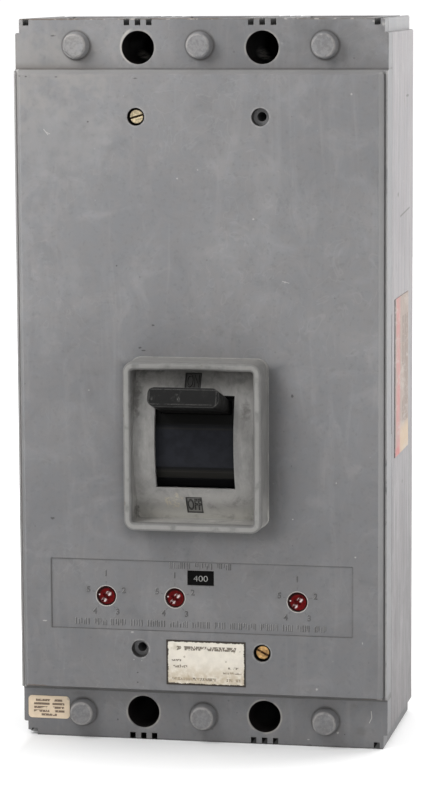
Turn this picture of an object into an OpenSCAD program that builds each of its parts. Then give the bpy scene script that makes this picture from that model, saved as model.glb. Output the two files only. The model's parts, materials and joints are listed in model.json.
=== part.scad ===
// Three-pole molded case circuit breaker, standing on its load end.
// Origin: centre of the rear mounting face. +X right, -Y to the front, +Z up.

/* [Housing] */
// Overall width of the housing
body_w = 209.6; // [190:0.1:230]
// Overall height of the housing
body_h = 406.4; // [380:0.1:430]
// Depth of the moulded base, from the rear face to the parting line
base_d = 82.5; // [70:0.1:100]
// Depth of the cover behind its end ledges
cover_d = 13.5; // [11:0.1:20]
// Distance between neighbouring poles
pole_pitch = 69.85; // [62:0.05:73]
// How far the two ends are stepped in from the sides
end_step_w = 2.2; // [1:0.1:4]
// Height of the stepped ends
end_step_h = 7.8; // [5:0.1:12]
// Width and depth of the seam between base and cover
seam = 0.5; // [0.3:0.1:0.8]
// Depth of the pry gap in the right side of the seam
pry_gap_d = 3; // [1.5:0.5:5]

/* [Raised front panel] */
// Rise of the front panel above the end ledges
panel_rise = 7.2; // [4:0.1:10]
// Height of each end ledge
ledge_h = 27.8; // [25:0.1:32]
// Rise of the side rims that run beside the panel
rim_rise = 4; // [3:0.1:5.5]
// Width of the side rims
rim_w = 0.9; // [0.6:0.1:2]
// Width of the groove between a rim and the panel
edge_groove_w = 0.9; // [0.8:0.1:2]
// Depth of that groove below the rim
edge_groove_d = 1.2; // [1:0.1:2.5]
// Width of the bevel round the panel
panel_bevel = 2.6; // [1:0.1:4]

/* [Mounting] */
// Height between the mounting holes
mount_span_z = 374.65; // [360:0.05:380]
// Clearance hole for a mounting screw
mount_hole_d = 8.7; // [6.5:0.1:11]
// Access hole for the head of a mounting screw
mount_access_d = 18.4; // [15:0.1:21]
// Thickness left under the head of a mounting screw
mount_floor = 24; // [15:0.5:40]

/* [Ends] */
// Diameter of the flat face of the moulded bosses on the end ledges
boss_d = 11.6; // [10:0.1:14]
// Width of the worn edge round the face of a boss
boss_edge = 0.8; // [0.4:0.1:1.5]
// Extra diameter at the foot of a boss
boss_draft = 2.4; // [0.5:0.1:3]
// Distance of the bosses from the ends
boss_inset = 14.7; // [12:0.1:18]
// Width of the slots for the barriers between poles
slot_w = 3.1; // [2:0.1:3.5]
// Depth of those slots
slot_d = 3.7; // [2:0.1:5]
// Distance between neighbouring slots
slot_pitch = 6.3; // [5:0.1:7]
// Width of the single slot by each corner
corner_slot_w = 3.3; // [2:0.1:4]
// Distance of the corner slot from the side of the end
corner_slot_inset = 2.2; // [1.5:0.1:4]

/* [Terminals] */
// Width of a terminal pocket
pocket_w = 44; // [40:0.5:46]
// Length of a terminal pocket, measured from the end
pocket_l = 46; // [36:0.5:50]
// Thickness of the housing behind a pocket
pocket_back = 12; // [6:0.5:20]
// Thickness of the cover in front of a pocket
pocket_front = 8; // [5:0.1:10]
// Width of a terminal bar
bar_w = 32; // [25:0.1:36]
// Thickness of a terminal bar
bar_t = 6.4; // [5:0.1:8]
// Distance of the terminal bars from the rear face
bar_y = 36; // [28:0.1:50]
// Length of bar set into the housing
bar_set = 18; // [10:0.5:24]
// Distance of a bar from the end of the housing
bar_inset = 4; // [2:0.5:10]
// Bolt hole in a terminal bar
bar_hole_d = 11.1; // [8:0.1:13]
// Distance of the bolt hole from the end of the bar
bar_hole_inset = 15; // [12:0.5:20]
// Height of a gas vent in the inner wall of an upper pocket
vent_h = 5; // [3:0.5:7]
// Depth of the gas vents
vent_d = 12; // [6:1:20]
// Diameter of the fixing wells in the rear face
well_d = 15; // [10:0.5:20]
// Depth of the fixing wells
well_depth = 4; // [2:0.5:6]

/* [Cover screws] */
// Height of the cover screws above and below the centre
cover_screw_z = 149.5; // [146:0.1:154]
// Counterbore of a cover screw
cover_bore_d = 9.9; // [9:0.1:12]
// Depth of the counterbore
cover_bore_l = 5.6; // [5:0.1:9]
// Head diameter of a cover screw
screw_head_d = 7.4; // [6.5:0.1:8.6]
// Width of the slot in the head of a cover screw
screw_slot_w = 1.2; // [0.8:0.1:1.6]
// Head height of a cover screw
screw_head_h = 3.2; // [2:0.1:4]
// Shank diameter of a cover screw
screw_d = 4.8; // [4:0.1:5]
// Shank length of a cover screw
screw_l = 28; // [22:0.5:40]

/* [Handle escutcheon] */
// Width of the escutcheon
esc_w = 77.6; // [70:0.1:85]
// Height of the escutcheon
esc_h = 94.2; // [90:0.1:105]
// Rise of the escutcheon above the panel
esc_rise = 22; // [16:0.1:24]
// Outer corner radius of the escutcheon
esc_r = 6; // [2:0.1:10]
// Thickness of the wall of the escutcheon
esc_wall = 4.5; // [2.5:0.1:5]
// Rounding of the rim of the escutcheon
esc_rim_r = 1.8; // [0.6:0.1:1.8]
// Widening of the escutcheon towards the panel, on each side
esc_draft = 0.5; // [0:0.1:1]
// Height of the centre of the escutcheon above the centre of the housing
esc_z = -31; // [-40:0.1:-20]
// Thickness of the curved floor of the escutcheon
floor_t = 2.4; // [1.5:0.1:3]
// Width of the window for the handle
window_w = 44.6; // [40:0.1:50]
// Height of the window for the handle
window_h = 52; // [48:0.1:56]

/* [Handle] */
// Distance of the handle pivot from the rear face
pivot_y = 44.2; // [40:0.1:50]
// Height of the handle pivot above the centre of the housing
pivot_z = -29.1; // [-33:0.1:-27]
// Radius of the curved floor about the pivot
floor_r = 75; // [72:0.1:77]
// Reach of the handle from the pivot
handle_r = 108; // [95:0.1:115]
// Width of the handle
handle_w = 39.6; // [34:0.1:40]
// Thickness of the handle at its front
handle_t = 10.6; // [9:0.1:13]
// Thickness of the handle where it passes the window
neck_t = 7.4; // [6:0.1:8]
// Corner radius of the front of the handle
handle_corner_r = 4; // [2:0.1:4.5]
// Angle of the handle above the pivot when it is on
handle_on = 15.8; // [12:0.1:16.5]
// Outer radius of the dust shield
shield_r = 69; // [66:0.1:70]
// Thickness of the dust shield
shield_t = 2; // [1.5:0.1:3]
// Width of the dust shield
shield_w = 47; // [46:0.1:50]
// Half of the angle that the dust shield covers
shield_half_angle = 38.6; // [38:0.1:44]
// Size of the recess behind each of the words for on and off
word_recess = [9.2, 9.7];
// How far the two recesses lie to the left of the middle of the window
word_shift = 1.7; // [0:0.1:2.5]
// Distance of the lower recess from the middle of the window
off_recess_z = 36.3; // [32:0.1:38]
// Distance of the upper recess from the middle of the window
on_recess_z = 33; // [31:0.1:36]
// Diameter of the pivot pin
pivot_pin_d = 10; // [6:0.1:14]

/* [Trip setting] */
// Width of the sunk field round the trip dials
field_w = 172; // [160:0.5:180]
// Height of that field
field_h = 40; // [34:0.1:44]
// Height of the centre of the field above the centre of the housing
field_z = -118.9; // [-122:0.1:-116]
// Depth of the field
field_d = 0.6; // [0.3:0.05:1]
// Positions of the trip dials across the housing
dial_x = [-54.4, -14.8, 55];
// Height of the trip dials above the centre of the housing
dial_z = -119.8; // [-122:0.1:-119]
// Diameter of a trip dial
dial_d = 10.6; // [9:0.1:12]
// Height of a trip dial
dial_h = 5; // [4:0.1:6]
// Diameter of the stem of a plunger
plunger_d = 4; // [3:0.1:5]
// Travel of a trip dial when it is pressed
press = 2; // [1:0.1:2.5]
// Distance of a trip dial behind the floor of the field
dial_sink = 0.3; // [0.2:0.05:0.6]
// Width of the rating plate
rating_w = 14.8; // [12:0.1:20]
// Height of the rating plate
rating_h = 8.1; // [6:0.1:9]
// Height of the centre of the rating plate above the centre of the housing
rating_z = -108; // [-110:0.1:-106]

/* [Labels] */
// Thickness of the labels
label_t = 0.3; // [0.2:0.05:0.5]
// Width and height of the label under the trip dials
front_label_size = [45.4, 25.6];
// Centre of the label under the trip dials
front_label_at = [2.9, -156.4];
// Width and height of the label on the lower ledge
corner_label_size = [24.2, 13];
// Distance of its centre from the left side and from the lower end
corner_label_inset = [14.7, 16.4];
// Depth and height of the label on the right side
side_label_size = [53, 89];
// Distance from the rear face and height of the centre of the side label
side_label_at = [45.5, 2.5];

/* [Fits] */
// Running clearance round moving parts
run_gap = 0.4; // [0.2:0.05:0.6]
// Clearance round seated parts
seat_gap = 0.2; // [0.1:0.05:0.3]
// Radial clearance between a turning part and its pin
pin_gap = 0.08; // [0.03:0.01:0.1]

/* [Hidden] */
$fn = 64;
eps = 0.01;
// Longer than the part, for cuts that run right through it.
through = 300;
DIALS = [0:2];

ledge_y = -(base_d + cover_d);
panel_y = ledge_y - panel_rise;
rim_y = ledge_y - rim_rise;
half_w = body_w / 2;
half_h = body_h / 2;
end_half_w = half_w - end_step_w;
platform_half_h = half_h - ledge_h;
pad_half_w = half_w - rim_w - edge_groove_w;
mount_x = pole_pitch / 2;
mount_z = mount_span_z / 2;
panel_corner_r = 4;
boss_rim_d = boss_d + 2 * boss_edge;
boss_foot_d = boss_rim_d + boss_draft;
screw_slot_angles = [74, 117];
screw_end_gap = 2;
screw_seat_y = panel_y + cover_bore_l;
esc_front_y = panel_y - esc_rise;
neck_r = shield_r - shield_t - 7;
cavity_r = shield_r + 3;
cavity_w = shield_w + 4;
cavity_back = 22;
pin_hole_l = cavity_w + 16;
pin_l = pin_hole_l - 1;
lever_edge = 1.2;
lever_flare = 8;
rating_t = 1;
corner_slot_x = end_half_w - corner_slot_inset - corner_slot_w / 2;
field_y = panel_y + field_d;
dial_bore_d = dial_d + 2 * run_gap;
dial_y = field_y + dial_sink;
dial_floor_y = dial_y + dial_h + press + run_gap;
stem_y = dial_y + 1.5;

// A box given by its two corners.
module block(low, high) {
    translate(low) cube(high - low);
}

// A round bar along Y from y0 (front) to y1 (back).
module bar_y(d, y0, y1) {
    translate([0, y1, 0]) rotate([90, 0, 0]) cylinder(h = y1 - y0, d = d);
}

// A flat outline in X and Z, drawn through from y0 (front) to y1 (back).
module through_y(y0, y1) {
    translate([0, y1, 0]) rotate([90, 0, 0]) linear_extrude(y1 - y0) children();
}

// A flat outline in Y and Z, drawn along X over the width w.
module across_x(w) {
    translate([-w / 2, 0, 0]) rotate([90, 0, 90]) linear_extrude(w) children();
}

// A rectangle with round corners, centred.
module round_rect(w, h, r) {
    translate([r - w / 2, -h / 2]) square([w - 2 * r, h]);
    translate([-w / 2, r - h / 2]) square([w, h - 2 * r]);
    for (x = [-1, 1], z = [-1, 1])
        translate([x * (w / 2 - r), z * (h / 2 - r)]) circle(r);
}

// The stepped outline of the housing, seen from the front.
module housing_outline() {
    corner_r = 1;
    round_rect(body_w, body_h - 2 * end_step_h, corner_r);
    round_rect(2 * end_half_w, body_h, corner_r);
}

// The same outline drawn in by the depth of the seam.
module seam_outline() {
    square([body_w - 2 * seam, body_h - 2 * end_step_h], center = true);
    square([2 * (end_half_w - seam), body_h], center = true);
}

// The places of the four mounting holes.
module at_mounts() {
    for (x = [-1, 1], z = [-1, 1])
        translate([x * mount_x, 0, z * mount_z]) children();
}

// The pockets that hold the terminals, between two depths.
module pockets(y0, y1) {
    for (pole = [-1:1], z = [-1, 1])
        translate([pole * pole_pitch, 0, z * half_h])
            block(
                [-pocket_w / 2, y0, z > 0 ? -pocket_l : -1],
                [pocket_w / 2, y1, z > 0 ? 1 : pocket_l]
            );
}

// Slots in the ends for the barriers between the poles.
module barrier_slots() {
    for (z = [-1, 1]) {
        for (x = [-1, 1], i = [-1:1])
            translate([x * mount_x + i * slot_pitch, 0, z * half_h])
                cube([slot_w, through, 2 * slot_d], center = true);
        for (x = [-1, 1])
            translate([x * corner_slot_x, 0, z * half_h])
                cube([corner_slot_w, through, 2 * slot_d], center = true);
    }
}

// The space in which the handle mechanism swings.
module mechanism_space(w, r) {
    translate([0, -pivot_y, pivot_z])
        rotate([0, 90, 0]) cylinder(h = w, r = r, center = true, $fn = 96);
}

// Shallow wells in the rear face over the fixings of each pole.
module rear_wells() {
    for (pole = [-1:1], z = [-0.62, -0.18, 0.42])
        translate([pole * pole_pitch, 0, z * half_h]) bar_y(well_d, -well_depth, 1);
}

// Gas vents in the inner walls of the upper pockets.
module gas_vents() {
    inner_z = half_h - pocket_l;
    for (pole = [-1:1], i = [0:2])
        translate([pole * pole_pitch, -bar_y - 16 - i * 2 * vent_h, inner_z])
            cube([pocket_w - 12, vent_h, 2 * vent_d], center = true);
}

module base() {
    color("dimgray")
    difference() {
        union() {
            through_y(-base_d + seam, 0) housing_outline();
            through_y(-base_d, -base_d + seam + eps) seam_outline();
        }
        rear_wells();
        gas_vents();
        pockets(-base_d - 1, -pocket_back);
        barrier_slots();
        at_mounts() {
            bar_y(mount_hole_d, -base_d - 1, 1);
            bar_y(mount_access_d, -base_d - 1, -mount_floor);
        }
        intersection() {
            mechanism_space(cavity_w, cavity_r);
            block([-half_w, -base_d - 1, -half_h], [half_w, -cavity_back, half_h]);
        }
        pivot_seat();
        terminal_seats();
        for (x = [-1, 1], z = [-1, 1])
            translate([x * mount_x, 0, z * cover_screw_z])
                bar_y(screw_d + 2 * seat_gap, -base_d - 1, screw_seat_y + screw_l + screw_end_gap);
    }
}

// Blind holes in the base for the ends of the pivot pin.
module pivot_seat() {
    translate([0, -pivot_y, pivot_z])
        rotate([0, 90, 0])
            cylinder(h = pin_hole_l, d = pivot_pin_d + 2 * seat_gap, center = true);
}

// Slots in the base that hold the inner ends of the terminal bars.
module terminal_seats() {
    for (pole = [-1:1], z = [-1, 1])
        translate([pole * pole_pitch, -bar_y, z * (half_h - pocket_l)])
            cube([bar_w + 2 * seat_gap, bar_t + 2 * seat_gap, 2 * (bar_set + seat_gap)], center = true);
}

// The raised panel with a bevel on all four sides, cut from two profiles.
module panel_pad() {
    top_half_w = pad_half_w - panel_bevel;
    top_half_h = platform_half_h - panel_bevel;
    side_profile = [
        [ledge_y + 1, -platform_half_h],
        [ledge_y, -platform_half_h],
        [panel_y, -top_half_h],
        [panel_y, top_half_h],
        [ledge_y, platform_half_h],
        [ledge_y + 1, platform_half_h]
    ];
    intersection() {
        across_x(body_w) polygon(side_profile);
        translate([0, 0, -half_h]) linear_extrude(body_h)
            polygon([
                [-pad_half_w, ledge_y + 1],
                [-pad_half_w, rim_y],
                [-top_half_w, panel_y],
                [top_half_w, panel_y],
                [pad_half_w, rim_y],
                [pad_half_w, ledge_y + 1]
            ]);
        through_y(panel_y - 1, ledge_y + 2)
            round_rect(2 * pad_half_w, 2 * platform_half_h, panel_corner_r);
    }
}

// The lower step of the platform, with the side rims beside the panel.
module panel_rims() {
    slope = 1.2;
    difference() {
        across_x(body_w)
            polygon([
                [ledge_y + 1, -platform_half_h],
                [ledge_y, -platform_half_h],
                [rim_y, -platform_half_h + slope],
                [rim_y, platform_half_h - slope],
                [ledge_y, platform_half_h],
                [ledge_y + 1, platform_half_h]
            ]);
        block(
            [-half_w + rim_w, rim_y - 1, -platform_half_h - 1],
            [half_w - rim_w, rim_y + edge_groove_d, platform_half_h + 1]
        );
    }
}

// The pry gap in the right side of the seam.
module pry_gap() {
    gap_h = 67;
    gap_z = 6.5;
    gap_t = 1.1;
    block(
        [half_w - pry_gap_d, -base_d - gap_t, gap_z - gap_h / 2],
        [half_w + 1, -base_d + 1, gap_z + gap_h / 2]
    );
}

// The corner leg that is broken short at the lower left.
module broken_leg() {
    leg_x = corner_slot_x + corner_slot_w / 2;
    cut = 10;
    missing = 4;
    translate([-leg_x - cut, ledge_y - 1, -half_h - cut + missing])
        rotate([0, 10, 0]) cube([cut + 0.1, cover_d + 0.8, cut]);
}

// A round boss on an end ledge: drafted side, worn edge, flat face.
module ledge_boss() {
    rotate([90, 0, 0])
        rotate_extrude()
            polygon([
                [0, -eps],
                [boss_foot_d / 2, -eps],
                [boss_rim_d / 2, panel_rise - boss_edge],
                [boss_d / 2, panel_rise],
                [0, panel_rise]
            ]);
}

// Two breaks at the left and the lower left of the upper left boss.
module boss_chips() {
    chip_r = boss_d / 2 - 0.7;
    chip = 6;
    for (turn = [4, -52])
        translate([-pole_pitch, panel_y, half_h - boss_inset])
            rotate([0, turn, 0])
                translate([-chip_r, 0, 0])
                    rotate([0, 0, 24 + turn / 4])
                        translate([-chip, -chip / 2, -chip])
                            cube([chip, chip + 1, 2 * chip]);
}

module cover_body() {
    through_y(ledge_y, -base_d) housing_outline();
    panel_rims();
    panel_pad();
    for (pole = [-1:1], z = [-1, 1])
        translate([pole * pole_pitch, ledge_y, z * (half_h - boss_inset)]) ledge_boss();
}

module cover() {
    color("slategray")
    difference() {
        cover_body();
        pockets(ledge_y + pocket_front, -base_d + 1);
        barrier_slots();
        pry_gap();
        broken_leg();
        boss_chips();
        at_mounts() bar_y(mount_access_d, panel_y - 1, 1);
        mechanism_space(cavity_w, cavity_r);
        for (x = [-1, 1], z = [-1, 1])
            translate([x * mount_x, 0, z * cover_screw_z]) {
                bar_y(screw_d + 2 * seat_gap, panel_y - 1, 1);
                bar_y(cover_bore_d, panel_y - 1, screw_seat_y);
            }
        translate([0, 0, field_z])
            through_y(panel_y - 1, field_y)
                square([field_w, field_h], center = true);
        for (i = DIALS)
            translate([dial_x[i], 0, dial_z]) {
                bar_y(dial_bore_d, panel_y - 1, dial_floor_y);
                bar_y(plunger_d + 2 * run_gap, panel_y - 1, 1);
            }
        translate([0, 0, rating_z])
            block(
                [-rating_w / 2 - seat_gap, panel_y - 1, -rating_h / 2 - seat_gap],
                [rating_w / 2 + seat_gap, field_y + seat_gap + rating_t, rating_h / 2 + seat_gap]
            );
    }
}

// The curved floor of the escutcheon, an arc about the handle pivot.
module escutcheon_floor() {
    intersection() {
        difference() {
            mechanism_space(esc_w - 2 * esc_wall + 1, floor_r);
            mechanism_space(esc_w, floor_r - floor_t);
            translate([0, 0, pivot_z])
                cube([window_w, through, window_h], center = true);
        }
        translate([0, 0, esc_z])
            through_y(esc_front_y - 1, panel_y)
                square([esc_w - 2 * esc_wall + 1, esc_h - 2 * esc_wall + 1], center = true);
    }
}

// Points on a quarter circle of radius r, from the angle a on.
function quarter(centre, r, a) =
    [for (i = [0:4]) centre + r * [cos(a + i * 22.5), sin(a + i * 22.5)]];

// The section of the rim: its inner wall, its rounded top and its drafted outer wall.
module rim_section() {
    inner_r = esc_r - esc_wall;
    polygon(concat(
        [[inner_r, 0]],
        [[esc_r + esc_draft, 0]],
        [[esc_r + esc_draft, 0.8]],
        [[esc_r + esc_draft - 0.3, 1.1]],
        quarter([esc_r - esc_rim_r, esc_rise - esc_rim_r], esc_rim_r, 0),
        quarter([inner_r + esc_rim_r, esc_rise - esc_rim_r], esc_rim_r, 90)
    ));
}

// Sweeps a section round a rectangle whose corners have the given centres.
module sweep_round(half_x, half_z) {
    for (k = [0:3]) {
        side = k % 2 == 0;
        along = side ? half_z : half_x;
        out = side ? half_x : half_z;
        rotate([0, 0, 90 * k]) {
            translate([out, -along, 0])
                rotate([90, 0, 0]) mirror([0, 0, 1]) linear_extrude(2 * along) children();
            translate([out, along, 0])
                rotate_extrude(angle = 90) children();
        }
    }
}

// A recess in the curved floor for one of the words beside the window.
module word_recess_cut(z) {
    recess_d = 0.7;
    difference() {
        translate([-word_shift, -pivot_y - floor_r, pivot_z + z])
            cube([word_recess[0], 60, word_recess[1]], center = true);
        mechanism_space(word_recess[0] + 2 * word_shift + 2, floor_r - recess_d);
    }
}

module handle_escutcheon() {
    color("darkgray")
    difference() {
        union() {
            translate([0, panel_y, esc_z])
                rotate([90, 0, 0])
                    sweep_round(esc_w / 2 - esc_r, esc_h / 2 - esc_r) rim_section();
            escutcheon_floor();
        }
        word_recess_cut(on_recess_z);
        word_recess_cut(-off_recess_z);
    }
}

// Places the handle's own frame: its length runs forward from the pivot.
module at_handle() {
    translate([0, -pivot_y, pivot_z]) rotate([-handle_on, 0, 0]) children();
}

module handle_lever() {
    flare_r = floor_r + 6;
    color("black")
    at_handle()
    intersection() {
        across_x(handle_w + 1)
            polygon([
                [-neck_r, -neck_t / 2],
                [-neck_r, neck_t / 2],
                [-flare_r, neck_t / 2],
                [-handle_r + lever_flare, handle_t / 2],
                [-handle_r + lever_edge, handle_t / 2],
                [-handle_r, handle_t / 2 - lever_edge],
                [-handle_r, -handle_t / 2 + lever_edge],
                [-handle_r + lever_edge, -handle_t / 2],
                [-handle_r + lever_flare, -handle_t / 2],
                [-flare_r, -neck_t / 2]
            ]);
        through_y(-handle_r - 1, -neck_r + 1)
            round_rect(handle_w, handle_t, handle_corner_r);
        translate([0, 0, -handle_t])
            linear_extrude(2 * handle_t)
                polygon([
                    [-handle_w / 2, 0],
                    [-handle_w / 2, -handle_r + lever_edge],
                    [-handle_w / 2 + lever_edge, -handle_r],
                    [handle_w / 2 - lever_edge, -handle_r],
                    [handle_w / 2, -handle_r + lever_edge],
                    [handle_w / 2, 0]
                ]);
    }
}

// Part of a ring about the pivot, between two angles from straight ahead.
module arc_band(r_out, r_in, w, from, to) {
    rotate([0, 90, 0])
        rotate([0, 0, -90 + from])
            translate([0, 0, -w / 2])
                rotate_extrude(angle = to - from, $fn = 128)
                    translate([r_in, 0]) square([r_out - r_in, w]);
}

// The shield is stepped: a pad at the lever, a broad band, a margin and a sunk lip.
module handle_shield() {
    steps = [
        [8, shield_r],
        [28, shield_r - 0.5],
        [34, shield_r - shield_t + 0.4]
    ];
    pad_r = shield_r + 0.8;
    back_r = shield_r - shield_t;
    color("#1d2025")
    at_handle()
    difference() {
        arc_band(pad_r, back_r - 1.6, shield_w, -shield_half_angle, shield_half_angle);
        for (i = [0:2]) {
            outside_r = pad_r + 4 + i;
            arc_band(outside_r, steps[i][1], shield_w + 2, steps[i][0], 50 + i);
            arc_band(outside_r, steps[i][1], shield_w + 2, -50 - i, -steps[i][0]);
        }
        arc_band(back_r, back_r - 8, shield_w + 2, 1 - steps[2][0], steps[2][0] - 1);
        translate([0, -shield_r, 0])
            cube([handle_w + 2 * seat_gap, 20, neck_t + 2 * seat_gap], center = true);
    }
}

module handle_yoke() {
    hub_d = pivot_pin_d + 12;
    web_t = 8;
    color("#2b2b2d")
    at_handle()
    difference() {
        union() {
            rotate([0, 90, 0]) cylinder(h = shield_w - 6, d = hub_d, center = true);
            translate([0, -neck_r / 2, 0])
                cube([shield_w - 14, neck_r, web_t], center = true);
        }
        rotate([0, 90, 0])
            cylinder(h = shield_w + 10, d = pivot_pin_d + 2 * pin_gap, center = true);
    }
}

module handle_pin() {
    color("silver")
    translate([0, -pivot_y, pivot_z])
        rotate([0, 90, 0]) cylinder(h = pin_l, d = pivot_pin_d, center = true);
}

// The head of the plunger carries the dial, which turns on its stem.
module dial_plunger(i) {
    back_y = dial_floor_y + 3;
    color("gainsboro")
    translate([dial_x[i], 0, dial_z])
        bar_y(plunger_d, stem_y, back_y);
}

// A trip dial with a crossed slot for a screwdriver in its face.
module trip_dial(i) {
    slot_angle = 36;
    slot_d = 0.9;
    long_slot = dial_d - 2.4;
    short_slot = 0.42 * dial_d;
    color("darkred")
    translate([dial_x[i], 0, dial_z])
    difference() {
        bar_y(dial_d, dial_y, dial_y + dial_h);
        bar_y(plunger_d + 2 * pin_gap, stem_y - pin_gap, 0);
        for (turn = [0, 90])
            rotate([0, slot_angle + turn, 0])
                translate([0, dial_y, 0])
                    cube([1.3, 2 * slot_d, turn == 0 ? long_slot : short_slot], center = true);
    }
}

module rating_plate() {
    front_y = field_y + seat_gap;
    color("black")
    translate([0, 0, rating_z])
        block(
            [-rating_w / 2, front_y, -rating_h / 2],
            [rating_w / 2, front_y + rating_t, rating_h / 2]
        );
}

// A slotted cover screw, its head on the floor of the counterbore.
module cover_screw(side) {
    slot_angle = screw_slot_angles[side > 0 ? 0 : 1];
    color("goldenrod")
    translate([-side * mount_x, 0, side * cover_screw_z])
    difference() {
        union() {
            bar_y(screw_head_d, screw_seat_y - screw_head_h, screw_seat_y);
            bar_y(screw_d, screw_seat_y - eps, screw_seat_y + screw_l);
        }
        translate([0, screw_seat_y - screw_head_h, 0])
            rotate([0, slot_angle, 0])
                cube([screw_slot_w, 2 * screw_slot_w, screw_head_d + 2], center = true);
    }
}

module front_label() {
    color("tan")
    translate([front_label_at[0], 0, front_label_at[1]])
        through_y(panel_y - label_t, panel_y) square(front_label_size, center = true);
}

module corner_label() {
    color("navajowhite")
    translate([corner_label_inset[0] - half_w, 0, corner_label_inset[1] - half_h])
        through_y(ledge_y - label_t, ledge_y)
            round_rect(corner_label_size[0], corner_label_size[1], 2.2);
}

module side_label() {
    color("wheat")
    translate([half_w + label_t / 2, -side_label_at[0], side_label_at[1]])
        cube([label_t, side_label_size[0], side_label_size[1]], center = true);
}

// A terminal bar of the pole, at the upper (1) or lower (-1) end.
module terminal(pole, end) {
    inner = half_h - pocket_l - bar_set;
    outer = half_h - bar_inset;
    color("peru")
    translate([pole * pole_pitch, -bar_y, end * (inner + outer) / 2])
    difference() {
        cube([bar_w, bar_t, outer - inner], center = true);
        translate([0, 0, end * ((outer - inner) / 2 - bar_hole_inset)])
            bar_y(bar_hole_d, -bar_t, bar_t);
    }
}

base();
cover();
handle_escutcheon();
handle_lever();
handle_shield();
handle_yoke();
handle_pin();
trip_dial(0);  // trip_dial_left
trip_dial(1);  // trip_dial_centre
trip_dial(2);  // trip_dial_right
dial_plunger(0);  // dial_plunger_left
dial_plunger(1);  // dial_plunger_centre
dial_plunger(2);  // dial_plunger_right
rating_plate();
cover_screw(1);  // cover_screw_upper
cover_screw(-1);  // cover_screw_lower
front_label();
corner_label();
side_label();
terminal(-1, 1);  // line_terminal_left
terminal(0, 1);  // line_terminal_centre
terminal(1, 1);  // line_terminal_right
terminal(-1, -1);  // load_terminal_left
terminal(0, -1);  // load_terminal_centre
terminal(1, -1);  // load_terminal_right
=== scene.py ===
import json
import math
import random

import bmesh
import bpy
from mathutils import Matrix, Vector


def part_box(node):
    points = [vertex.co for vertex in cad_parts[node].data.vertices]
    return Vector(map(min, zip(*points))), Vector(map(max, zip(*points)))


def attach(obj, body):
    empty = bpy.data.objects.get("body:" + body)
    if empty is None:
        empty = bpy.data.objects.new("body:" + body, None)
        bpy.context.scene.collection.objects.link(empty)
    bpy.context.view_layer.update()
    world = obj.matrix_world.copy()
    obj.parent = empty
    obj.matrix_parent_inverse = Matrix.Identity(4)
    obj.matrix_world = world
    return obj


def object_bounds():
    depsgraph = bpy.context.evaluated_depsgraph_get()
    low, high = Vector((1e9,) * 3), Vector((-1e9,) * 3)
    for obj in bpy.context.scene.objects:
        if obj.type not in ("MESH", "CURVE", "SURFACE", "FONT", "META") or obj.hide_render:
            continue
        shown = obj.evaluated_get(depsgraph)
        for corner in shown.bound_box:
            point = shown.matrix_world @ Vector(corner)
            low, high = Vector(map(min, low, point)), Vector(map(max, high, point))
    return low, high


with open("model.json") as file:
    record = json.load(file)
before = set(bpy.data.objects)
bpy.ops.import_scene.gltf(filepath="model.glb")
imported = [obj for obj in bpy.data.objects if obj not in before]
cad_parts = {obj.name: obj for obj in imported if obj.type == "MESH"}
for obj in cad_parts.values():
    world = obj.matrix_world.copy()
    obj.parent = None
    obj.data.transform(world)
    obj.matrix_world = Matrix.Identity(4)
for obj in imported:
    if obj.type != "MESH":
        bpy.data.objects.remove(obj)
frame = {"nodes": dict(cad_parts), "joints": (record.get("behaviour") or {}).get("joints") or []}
cad_box = [list(c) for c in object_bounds()]
nodes = frame["nodes"]
scene = bpy.context.scene
rng = random.Random(7)


def mm(*v):
    """A place or a size in millimetres, turned into metres."""
    return Vector(v) / 1000


# ---------------------------------------------------------------- places on the part, in metres
# The cover: half its width and height, its front panel, and the end ledges, where the corner label lies.
SIDE_X, END_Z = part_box("cover")[1].xz
PANEL_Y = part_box("cover")[0].y
LEDGE_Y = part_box("corner_label")[1].y
PANEL_END_Z = 0.1752
RIM_Y = -0.1000

# The axis that the handle turns on, and the axes of the three trip dials.
SIDES = ("left", "centre", "right")
axes = {joint["name"]: joint["pos_m"] for joint in frame["joints"] if "pos_m" in joint}
PIVOT_Y, PIVOT_Z = axes["handle_hinge"][1:]
DIALS = {side: axes["turn_" + side][0] for side in SIDES}
DIAL_Z = axes["turn_centre"][2]

# Slots between the poles in both ends: a middle and two outer ones to each group, and one by each corner.
HALF_POLE = 0.034925
SLOT_PITCH = 0.0063
HALF_SLOT = 0.00157
SLOT_FLOOR_Z = 0.1995
CORNER_SLOT_X = 0.09875
HALF_CORNER_SLOT = 0.00167

# Bores and bosses of the front. Each place stands for its mirror images too.
MOUNTING_BORE = (0.0349, 0.1873)
COVER_SCREW_BORE = (0.0349, 0.1495)
MIDDLE_BOSS = (0.0, 0.1885)
OUTER_BOSS = (0.06985, 0.1885)

# The line round the trip field.
FIELD_X = 0.0862
FIELD_LOW, FIELD_HIGH = -0.1389, -0.0989

# The escutcheon: its crest, and its floor, curved about the handle's axis, with two words sunk into it.
CREST_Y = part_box("handle_escutcheon")[0].y
FLOOR_RADIUS = 0.075
WORDS_X = -0.0017
WORD_RECESSES = [(-0.0010, 0.0088), (-0.0703, -0.0605)]

# The painted contact shadow on the floor ends here, a little inside the object's foot.
FOOT_LEFT, FOOT_RIGHT, FOOT_FRONT = -0.0964, 0.1004, -0.0956

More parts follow.
